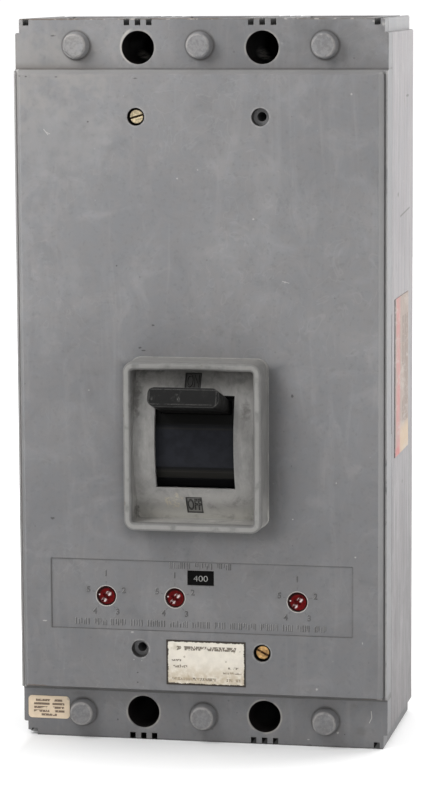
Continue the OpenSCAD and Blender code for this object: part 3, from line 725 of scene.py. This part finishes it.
# ---------------------------------------------------------------- base and escutcheon
def base_plastic():
    """Painted shade darker towards its foot, with long streaks down the right side and black access bores."""
    t = grey_plastic("base_grey_plastic")
    side = t.between(t.x, SIDE_X - 0.0013, SIDE_X - 0.0006)
    streak = t.noise(500, 4, 0.65, at=t.scaled((1.0, 1.0, 0.03)))
    wavy = t.noise(190, 5, 0.7, at=t.scaled((1.0, 1.0, 0.09)), distort=1.6)
    # painted shade: darker towards the foot
    t.tint(t.between(t.z, -0.15, 0.06, 0.565, 1.15))
    t.tint((1.0, 0.950, 0.960), side)
    t.paint((0.33, 0.31, 0.31), side, t.between(streak, 0.48, 0.68), 0.45)
    t.paint((0.13, 0.12, 0.12), side, t.between(streak, 0.47, 0.34), 0.3)
    t.paint((0.34, 0.315, 0.315), side, t.between(wavy, 0.52, 0.66), 0.3)
    t.paint((0.12, 0.112, 0.112), side, t.between(wavy, 0.46, 0.34), 0.4)
    stains = [
        ((104.8, -58.6, 104.8), (1, 3.0, 1.6)), ((104.8, -22.1, 158.4), (1, 7.0, 1.0)),
        ((104.8, -40.0, -60.0), (1, 3.0, 1.2)),
    ]
    scrape = t.stroke(mm(104.8, -49.8, 91.9), mm(104.8, -13.6, 94.3), 0.0007, 0.6)
    t.paint((0.06, 0.055, 0.05), t.most(t.spots(stains, 0.6, t.wobble(500, 3, 1.4)), scrape), 0.75)
    bore = t.between(t.radius(*MOUNTING_BORE, mirrored=True), 0.0098, 0.0096)
    bore = t.times(bore, t.band(t.y, -0.084, -0.004))
    t.paint(BORE_BLACK, bore, 0.985)
    dull(t, bore)
    # painted highlights: pale glints, shaped like scratches, on the lower left walls of the two upper bores
    glints = [((-42.0, -46, 181.6), (5, 20, 4.5)), ((27.4, -50, 181.8), (5, 24, 6.5))]
    scratch = t.noise(900, 4, 0.7, at=t.scaled((1.0, 0.04, 1.0)))
    t.paint((0.90, 0.85, 0.80), bore, t.spots(glints, 0.9), t.between(scratch, 0.36, 0.56))
    return t.done()


def paint_dust_and_light(t, floor, patch, grain):
    """Painted light on faces that look up and at the foot of the tray, the dusty lower tray, the rubbed sides
    and the top of the curved floor.
    """
    # painted light: faces that look up are paler
    t.paint((0.33, 0.32, 0.305), t.between(t.facing()[2], 0.5, 0.9), 0.15)
    low = t.times(t.between(t.z, -0.052, -0.064), t.between(t.y, CREST_Y + 0.0027, CREST_Y + 0.0062))
    t.paint((0.40, 0.39, 0.37), low, t.between(patch, 0.22, 0.55), 0.7)
    # painted light at the foot of the tray, against the rim's shade
    lowest = t.times(floor, t.between(t.z, -0.0645, -0.0725))
    t.paint((0.66, 0.645, 0.60), lowest, t.between(patch, 0.15, 0.5), 0.85)
    sides = t.times(floor, t.between(t.absolute(t.x), 0.024, 0.026))
    t.paint((0.30, 0.295, 0.28), sides, t.between(grain, 0.35, 0.6), 0.35)
    top = t.times(floor, t.between(t.z, -0.004, 0.002))
    t.paint((0.34, 0.33, 0.31), top, t.between(patch, 0.3, 0.6), 0.6)


def paint_tray_marks(t, patch):
    """A stain, curved scratches, dust, dark smudge marks that are partly the handle's painted shadow, and
    chips on the rim.
    """
    wobble = t.wobble(260, 5, 3.0, 0.65)
    stain = t.spot(mm(-13.0, -115, -64.5), mm(7.5, 9, 5.5), 0.5, wobble)
    t.paint((0.50, 0.44, 0.33), stain, t.patches(900, 3, 0.42, 0.58), 0.7)
    bend = t.wobble(120, 3, 0.008)
    arcs = (((6, -72), (16, -77), 0.7), ((10, -78), (26, -73), 0.6), ((-30, -70), (-16, -76), 0.6))
    t.paint((0.56, 0.54, 0.50), t.most(*[
        t.stroke(mm(ax, -112, az), mm(bx, -112, bz), width / 1000, 0.8, bend)
        for (ax, az), (bx, bz), width in arcs
    ]), 0.55)
    dusty = [((-20, -112, -73), (12, 9, 5)), ((19, -112, -74.5), (12, 9, 4))]
    t.paint((0.52, 0.50, 0.46), t.spots(dusty, 0.9, wobble), t.patches(650, 4, 0.46, 0.60, 0.7), 0.55)
    # dark smudges, partly the handle's painted shadow on the walls beside it
    smudges_and_shadows = [
        ((-33.8, -114, -6), (4.0, 14, 13)), ((-22, -113, 10), (12, 9, 2.5)), ((18, -113, 12.5), (14, 9, 2.0)),
        ((29, -115, -12), (3.5, 8, 7)), ((-35, -112, -70), (2.5, 10, 7)), ((-31, -112, 9), (5, 9, 4)),
    ]
    t.paint((0.070, 0.065, 0.059), t.spots(smudges_and_shadows, 0.85, wobble), t.between(patch, 0.20, 0.5), 0.7)
    chips = [
        ((-38.5, -124, -63), (1.5, 3, 1.6)), ((-38.5, -125, -14), (0.8, 2, 1.2)),
        ((6, -125, 14.5), (1.2, 2, 1.0)),
    ]
    t.paint((0.12, 0.10, 0.08), t.spots(chips, 0.5, wobble), 0.7)


def paint_rim(t):
    """A pale crest, partly rubbed and partly a painted highlight, between darker flanks, with painted shade
    on the right one.
    """
    rim = t.between(t.y, CREST_Y + 0.0037, CREST_Y + 0.0017)
    t.paint((0.122, 0.121, 0.117), rim, 0.46)
    # painted shade on the right flank
    flank_shade = t.times(t.between(t.x, 0.0380, 0.0392), t.between(t.y, CREST_Y + 0.0017, CREST_Y + 0.0037))
    t.paint((0.075, 0.076, 0.075), flank_shade, 0.35)
    # painted highlight along the crest where it faces the front, patchy like rubbed plastic
    crest = t.times(rim, t.between(t.facing()[1], -0.93, -0.99), t.patches(150, 4, 0.25, 0.5))
    t.paint((0.33, 0.325, 0.31), crest, 0.5)


def paint_word_recesses(t, reach):
    """The sunk places of the two words, with painted shade along their edge."""
    across = t.absolute(t.minus(t.x, WORDS_X))
    deep = t.between(reach, FLOOR_RADIUS - 0.00005, FLOOR_RADIUS - 0.0004)
    sunk = t.times(deep, t.between(across, 0.0048, 0.0046))
    for (low_z, high_z), strength, grey in zip(WORD_RECESSES, (0.8, 0.6), (0.048, 0.125)):
        place = t.times(sunk, t.band(t.z, low_z, high_z))
        t.paint((grey, grey, grey * 0.95), place, strength)
        # painted shade along the edges of each recess
        tall = t.band(t.z, low_z + 0.0008, high_z - 0.0008, 0.0002)
        inner = t.times(t.between(across, 0.0040, 0.0036), tall)
        t.paint((0.018, 0.017, 0.016), place, t.minus(1.0, inner), 0.85)


def escutcheon_plastic():
    t = grey_plastic("escutcheon_grey_plastic", warm=0.35, wear=0.2)
    reach = t.diagonal(t.minus(t.z, PIVOT_Z), t.minus(t.y, PIVOT_Y))
    floor = t.between(reach, FLOOR_RADIUS + 0.0006, FLOOR_RADIUS + 0.0001)
    patch = t.noise(110, 6, 0.68, distort=0.8)
    grain = t.noise(230, 5, 0.7, at=t.scaled((1.0, 1.0, 0.3)))
    t.paint((0.29, 0.285, 0.27), t.between(patch, 0.42, 0.62), 0.28)
    t.paint((0.125, 0.122, 0.115), t.between(patch, 0.46, 0.28), 0.30)
    t.paint((0.36, 0.355, 0.335), t.between(grain, 0.52, 0.70), 0.35)
    t.paint((0.115, 0.112, 0.105), t.between(grain, 0.44, 0.30), 0.25)
    paint_dust_and_light(t, floor, patch, grain)
    paint_tray_marks(t, patch)
    paint_rim(t)
    paint_word_recesses(t, reach)
    return t.done()


# ---------------------------------------------------------------- handle and dials
def handle_plastic():
    """Black plastic, greyer and scuffed on the lever's front, with pale worn edges."""
    t = plain("black_plastic", (0.0035, 0.0034, 0.0032), 0.5, shine=0.08)
    front = t.between(t.y, -0.1435, -0.1465)
    t.paint((0.0132, 0.0132, 0.0130), front)
    worn = t.times(t.edges(0.0008, 0.005, 0.06), front, t.patches(420, 4, 0.34, 0.52, 0.7))
    t.paint((0.12, 0.118, 0.112), worn, 0.8)
    t.paint((0.045, 0.044, 0.042), front, t.patches(300, 5, 0.52, 0.70, 0.7), 0.35)
    dents = [
        ((-2.0, -148, -1.0), (1.2, 2, 1.8)), ((-6.0, -148, -7.0), (0.9, 2, 0.7)),
        ((16.0, -147, -7.5), (1.0, 2, 0.9)), ((-17.0, -148, -1.0), (0.8, 2, 1.2)),
        ((-3.5, -148, 1.6), (1.0, 2, 0.6)),
    ]
    marks = t.times(t.spots(dents, 0.7, t.wobble(600, 3, 1.6)), t.patches(1500, 3, 0.42, 0.58, 0.7))
    t.paint((0.17, 0.17, 0.16), marks, 0.5)
    return t.done()


def shield_plastic():
    """Dark curved strip whose tone changes with the angle about the handle's axis, in degrees, with the
    lever's painted shadow near the top and painted shade at the lower end.
    """
    t = plain("shield_plastic", (0.0130, 0.0141, 0.0181), 0.42, shine=0.1)
    up, out = t.minus(t.z, PIVOT_Z), t.minus(PIVOT_Y, t.y)
    turn = t.math("MULTIPLY", t.math("ARCTAN2", up, out), 180 / math.pi)
    # painted shadow of the lever
    t.paint((0.0015, 0.0015, 0.0012), t.between(turn, 4.5, 9.0))
    t.paint((0.0088, 0.0083, 0.0068), t.between(turn, -13.0, -14.2))
    lines = t.most(t.band(turn, -15.0, -14.6, 0.15), t.band(turn, 5.4, 6.2, 0.3))
    t.paint((0.020, 0.019, 0.017), lines, 0.6)
    t.paint((0.0020, 0.0020, 0.0020), t.band(turn, -13.8, -12.5, 0.3), 0.85)
    # painted shade at the lower end
    t.paint((0.0060, 0.0060, 0.0064), t.between(turn, -17.4, -18.2))
    return t.done()


def dial_plastic():
    """Deep red, with painted shade as a blackish rim, heaviest at the upper left, and three painted glints on
    each dial.
    """
    t = plain("dial_plastic", (0.100, 0.0016, 0.0022), 0.22, bump=0.00001, shine=0.08)
    wobble = t.wobble(900, 2, 0.8)
    glints, outer = [], []
    for x in DIALS.values():
        for dx, dz, size in ((1.3, 1.2, 1.9), (-1.3, -2.3, 1.7), (-4.0, 0.6, 0.6)):
            at = Vector((x, -0.1023, DIAL_Z)) + mm(dx, 0, dz)
            glints.append(t.spot(at, mm(size, 1.2, size * 0.85), 0.5, wobble))
        outer.append(t.between(t.radius(x + 0.0004, DIAL_Z - 0.00025), 0.0042, 0.0047))
    t.paint((0.026, 0.0012, 0.0014), t.patches(620, 4, 0.46, 0.62, 0.7), 0.6)
    # painted shade: the dark rim
    t.paint((0.008, 0.002, 0.002), t.least(*outer), 0.92)
    # painted highlights: the glints
    t.paint((0.72, 0.62, 0.61), t.most(*glints), 0.85)
    return t.done()


# ---------------------------------------------------------------- labels and metal
def front_label_paper():
    """Cream paper with a worn dark border and faint marks where its print was."""
    t = plain("front_label_paper", (0.675, 0.63, 0.55), 0.7, vary=0.05)
    low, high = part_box("front_label")
    wobble = t.wobble(380, 5, 0.0022, 0.7)
    x, z = t.math("ADD", t.x, wobble), t.math("ADD", t.z, wobble)
    inside = t.times(t.band(x, low.x + 0.0011, high.x - 0.0010), t.band(z, low.z + 0.0010, high.z - 0.0010))
    t.base = t.mix(inside, (0.040, 0.032, 0.026), t.base)
    rows = [
        (high.z - 0.0045, 0.0024, low.x + 0.006, high.x - 0.003, 0.75),
        (high.z - 0.0115, 0.0012, low.x + 0.003, low.x + 0.009, 0.6),
        (high.z - 0.0150, 0.0014, low.x + 0.004, low.x + 0.012, 0.6),
        (high.z - 0.0152, 0.0012, high.x - 0.010, high.x - 0.004, 0.6),
        (high.z - 0.0180, 0.0012, high.x - 0.013, high.x - 0.002, 0.6),
        (low.z + 0.0035, 0.0017, low.x + 0.003, high.x - 0.003, 0.7),
    ]
    t.paint((0.085, 0.065, 0.045), t.print_rows(t.x, t.z, rows), 0.85)
    t.paint((0.22, 0.18, 0.13), t.specks(420, 0.08, 0.3), inside, 0.5)
    corner = (low.x + 0.0055, low.y, high.z - 0.004)
    t.paint((0.25, 0.20, 0.10), t.spot(corner, (0.003, 0.01, 0.0025), 0.9, t.wobble(500, 4, 2.0)), 0.35)
    aged = t.times(t.between(z, low.z + 0.015, low.z + 0.003), inside, t.patches(300, 4, 0.30, 0.6, 0.65))
    t.paint((0.46, 0.38, 0.27), aged, 0.78)
    return t.done()


def corner_label_paper():
    """Peach paper with five rows of small print, not legible."""
    t = plain("corner_label_paper", (0.66, 0.54, 0.40), 0.7, vary=0.06)
    low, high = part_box("corner_label")
    middle = (low.x + high.x) / 2
    halves = ((0.0078, 1.0), (0.0090, 1.1), (0.0088, 1.1), (0.0090, 1.1), (0.0045, 1.0))
    rows = [
        (high.z - 0.0026 - 0.0021 * i, 0.00130, middle - half, middle + half, share)
        for i, (half, share) in enumerate(halves)
    ]
    t.paint((0.085, 0.050, 0.035), t.print_rows(t.x, t.z, rows), 0.85)
    corner = (high.x, low.y, high.z - 0.001)
    t.paint((0.35, 0.32, 0.29), t.spot(corner, (0.0022, 0.01, 0.002), 0.6, t.wobble(700, 4, 2.4)), 0.6)
    return t.done()


def side_label_paper():
    """Faded label: a thin dark line and a pink stripe at the front, a grey-beige body, a tan lower part."""
    t = plain("side_label_paper", (0.305, 0.250, 0.218), 0.7, vary=0.12)
    low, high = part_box("side_label")
    deep = high.y - low.y
    uneven = t.wobble(260, 4, 0.007)
    y = t.math("ADD", t.y, uneven)
    lower = t.between(t.math("ADD", t.z, uneven), low.z + 0.018, low.z + 0.011)
    t.paint((0.47, 0.36, 0.25), lower, t.between(y, low.y + 0.016, low.y + 0.022), 0.75)
    start, end = low.z + 0.016, high.z - 0.012
    rows = [(low.y + share * deep, 0.0060, start, end, 0.95) for share in (0.60, 0.76, 0.90)]
    t.paint((0.150, 0.118, 0.105), t.print_rows(t.z, t.y, rows, fine=(420, 260)), 0.5)
    faded = t.between(t.noise(90, 4), 0.25, 0.6, 0.35, 0.9)
    t.paint((0.42, 0.205, 0.195), t.band(y, low.y + 0.006, low.y + 0.021, 0.003), faded)
    foot = t.times(t.between(t.z, low.z + 0.006, low.z + 0.003), t.between(y, low.y + 0.02, low.y + 0.014))
    t.paint((0.43, 0.14, 0.14), foot, 0.7)
    t.paint((0.085, 0.075, 0.072), t.between(t.y, low.y + 0.0040, low.y + 0.0022), 0.75)
    scuffs = t.noise(140, 5, 0.7, at=t.scaled((1, 0.25, 1), (0.6, 0, 0)))
    t.paint((0.42, 0.38, 0.35), t.between(scuffs, 0.50, 0.66), 0.5)
    return t.done()


def screw_metal(name, colour, dark, wear_and_shade_at=None):
    """Brass with painted shade in its recesses and on its slot floor. The worn head is patchy, with painted
    shade at one place: (centre, half sizes).
    """
    t = plain(name, colour, 0.38, metal=0.85, vary=0.3, scale=900)
    # painted shade in the recesses and the slot
    t.paint(dark, t.hollow_shade(0.0012), 0.9)
    t.paint(tuple(0.4 * c for c in dark), t.between(t.y, -0.1006, -0.1003))
    if wear_and_shade_at:
        worn = t.noise(380, 3, 0.6)
        t.paint(tuple(1.9 * c for c in colour), t.between(worn, 0.48, 0.62), 0.5)
        t.paint(tuple(2 * c for c in dark), t.between(worn, 0.5, 0.36), 0.5)
        # painted shade on one side of the head
        t.paint(dark, t.spot(*wear_and_shade_at, 0.9), 0.85)
    return t.done()


def assign(node_name, material):
    mesh_materials = nodes[node_name].data.materials
    mesh_materials.clear()
    mesh_materials.append(material)


def set_materials():
    assign("base", base_plastic())
    assign("cover", cover_plastic())
    assign("handle_escutcheon", escutcheon_plastic())
    assign("handle_lever", handle_plastic())
    assign("handle_shield", shield_plastic())
    steel = plain("steel", (0.55, 0.55, 0.55), 0.35, metal=1.0).done()
    assign("handle_yoke", steel)
    assign("handle_pin", steel)
    dial = dial_plastic()
    pale = plain("plunger_plastic", (0.6, 0.58, 0.52), 0.4).done()
    copper = plain("terminal_copper", (0.58, 0.30, 0.17), 0.4, metal=1.0, vary=0.3).done()
    for side in SIDES:
        assign("trip_dial_" + side, dial)
        assign("dial_plunger_" + side, pale)
        assign("line_terminal_" + side, copper)
        assign("load_terminal_" + side, copper)
    assign("rating_plate", plain("rating_black", (0.003, 0.003, 0.003), 0.35, shine=0.05).done())
    # where the lower screw's head has painted shade
    wear_and_shade_at = (mm(37.5, -99, -151), mm(3.2, 4, 3.6))
    assign("cover_screw_upper", screw_metal("pale_brass", (0.66, 0.55, 0.36), (0.10, 0.06, 0.02)))
    assign("cover_screw_lower", screw_metal("dark_brass", (0.44, 0.27, 0.11), (0.10, 0.045, 0.02), wear_and_shade_at))
    assign("front_label", front_label_paper())
    assign("corner_label", corner_label_paper())
    assign("side_label", side_label_paper())


# ---------------------------------------------------------------- raised lettering, all generic
def join_piece(name, bm, material):
    """Turns a bmesh into a piece of the housing."""
    mesh = bpy.data.meshes.new(name)
    bm.to_mesh(mesh)
    bm.free()
    mesh.materials.append(material)
    ob = bpy.data.objects.new(name, mesh)
    scene.collection.objects.link(ob)
    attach(ob, "housing")


def letters(text, at, size, proud, thick, wide=1.0):
    """The mesh of letters that face -Y, centred on a place, standing proud of it; all in metres."""
    curve = bpy.data.curves.new("letters", "FONT")
    curve.body = text
    curve.align_x, curve.align_y = "CENTER", "CENTER"
    curve.size = size
    curve.extrude = proud / 2
    curve.offset = thick
    ob = bpy.data.objects.new("letters", curve)
    scene.collection.objects.link(ob)
    bpy.context.view_layer.update()
    mesh = bpy.data.meshes.new_from_object(ob.evaluated_get(bpy.context.evaluated_depsgraph_get()))
    place = Matrix.Translation(Vector(at) - Vector((0, proud / 2, 0))) @ Matrix.Rotation(math.pi / 2, 4, "X")
    mesh.transform(place @ Matrix.Diagonal((wide, 1, 1, 1)))
    bpy.data.objects.remove(ob)
    bpy.data.curves.remove(curve)
    return mesh


def add_mesh(bm, mesh):
    bm.from_mesh(mesh)
    bpy.data.meshes.remove(mesh)


# The marks of the trip field stand on FIELD_Y. A pale copy, moved up and left, is their painted highlight on
# the lit edge.
FIELD_Y = -0.1026
EDGE_SHIFT = 0.00025
NUMBER_SIZE = 0.0046
TICK = 0.0004


def add_bar(bm, x, z, width, height, proud):
    """A small raised block with bevelled sides on the trip field."""
    rims = []
    for inset, depth in ((0, 0.0001), (0, -proud * 0.6), (0.0001, -proud)):
        w, h = width / 2 - inset, height / 2 - inset
        corners = [(x - w, z - h), (x + w, z - h), (x + w, z + h), (x - w, z + h)]
        rims.append([bm.verts.new((cx, FIELD_Y + depth, cz)) for cx, cz in corners])
    for low, high in zip(rims, rims[1:]):
        for i in range(4):
            j = (i + 1) % 4
            bm.faces.new((low[i], low[j], high[j], high[i]))
    bm.faces.new(rims[-1])


def add_dummy_row(bm, edge, start, end, z, height):
    """A row of plain upright bars in groups, with painted highlights on their edges, where the part has a
    line of words.
    """
    x = start
    while x < end:
        for _ in range(rng.randint(5, 13)):
            if x > end:
                break
            share = rng.choice((1.0, 1.0, 0.8, 0.6))
            lift = rng.choice((-0.5, 0.5)) * (1 - share) * height
            width = rng.choice((0.0004, 0.0006))
            add_bar(bm, x, z + lift, width, share * height, 0.0002)
            add_bar(edge, x - EDGE_SHIFT, z + lift + EDGE_SHIFT, width, share * height, 0.0001)
            x += rng.choice((0.0010, 0.0013, 0.0016))
        x += 0.0020


def dial_marks():
    """Numerals 1 to 5 with a tick of two dots at each, round every dial, and rows above and below."""
    paint = plain("raised_grey", (0.100, 0.098, 0.098), 0.6).done()
    light = plain("raised_highlight_grey", (0.27, 0.265, 0.26), 0.6).done()
    number_reaches = (0.0128, 0.0107, 0.0112, 0.0112, 0.0107)
    edge = bmesh.new()
    for side, x in DIALS.items():
        bm = bmesh.new()
        for i, number_reach in enumerate(number_reaches):
            turn = math.radians(72 * i)
            across, up = math.sin(turn), math.cos(turn)
            at = Vector((x + number_reach * across, FIELD_Y, DIAL_Z + number_reach * up))
            shifted = at + Vector((-EDGE_SHIFT, 0, EDGE_SHIFT))
            add_mesh(bm, letters(str(i + 1), at, NUMBER_SIZE, 0.0002, 0.00009))
            add_mesh(edge, letters(str(i + 1), shifted, NUMBER_SIZE, 0.0001, 0.00006))
            for reach in (0.0074, 0.0081):
                add_bar(bm, x + reach * across, DIAL_Z + reach * up, TICK, TICK, 0.0001)
        join_piece("dial_numbers_" + side, bm, paint)
    bm = bmesh.new()
    add_dummy_row(bm, edge, -0.0175, 0.0175, -0.1013, 0.0034)
    add_dummy_row(bm, edge, -0.0720, 0.0720, -0.1348, 0.0036)
    join_piece("panel_rows", bm, paint)
    join_piece("raised_edge_highlights", edge, light)


def rating_number():
    """The rated current on the plate in the middle."""
    bm = bmesh.new()
    add_mesh(bm, letters("400", (0.0, -0.1024, -0.1085), 0.0048, 0.00015, -0.00007, 1.18))
    join_piece("rating_number", bm, plain("white_paint", (0.40, 0.40, 0.385), 0.5).done())


def switch_words():
    """The two words on the curved floor: dark letters as their painted shadow, with a slimmer, paler face on
    top.
    """
    size, narrow = 0.0104, 0.44
    dark, pale = bmesh.new(), bmesh.new()
    for text, z in (("ON", 0.0039), ("OFF", -0.0654)):
        angle = math.asin((z - PIVOT_Z) / FLOOR_RADIUS)
        y = PIVOT_Y - FLOOR_RADIUS * math.cos(angle) + 0.0007
        place = Matrix.Translation((WORDS_X, y, z)) @ Matrix.Rotation(-angle, 4, "X")
        outline = letters(text, (0, 0, 0), size, 0.0004, 0.00012, narrow)
        face = letters(text, (-0.00016, 0, 0.00012), size, 0.0005, -0.00016, narrow)
        for mesh, whole in ((outline, dark), (face, pale)):
            mesh.transform(place)
            add_mesh(whole, mesh)
    # painted shadow: the dark copy of each word
    word_shadow_grey = plain("word_painted_shadow", (0.018, 0.017, 0.016), 0.6, shine=0.15).done()
    face_grey = plain("word_face", (0.110, 0.108, 0.103), 0.6).done()
    join_piece("switch_words", dark, word_shadow_grey)
    join_piece("switch_word_faces", pale, face_grey)


set_camera()
set_light()
set_floor()
set_materials()
dial_marks()
rating_number()
switch_words()
scene.view_settings.view_transform = "Standard"
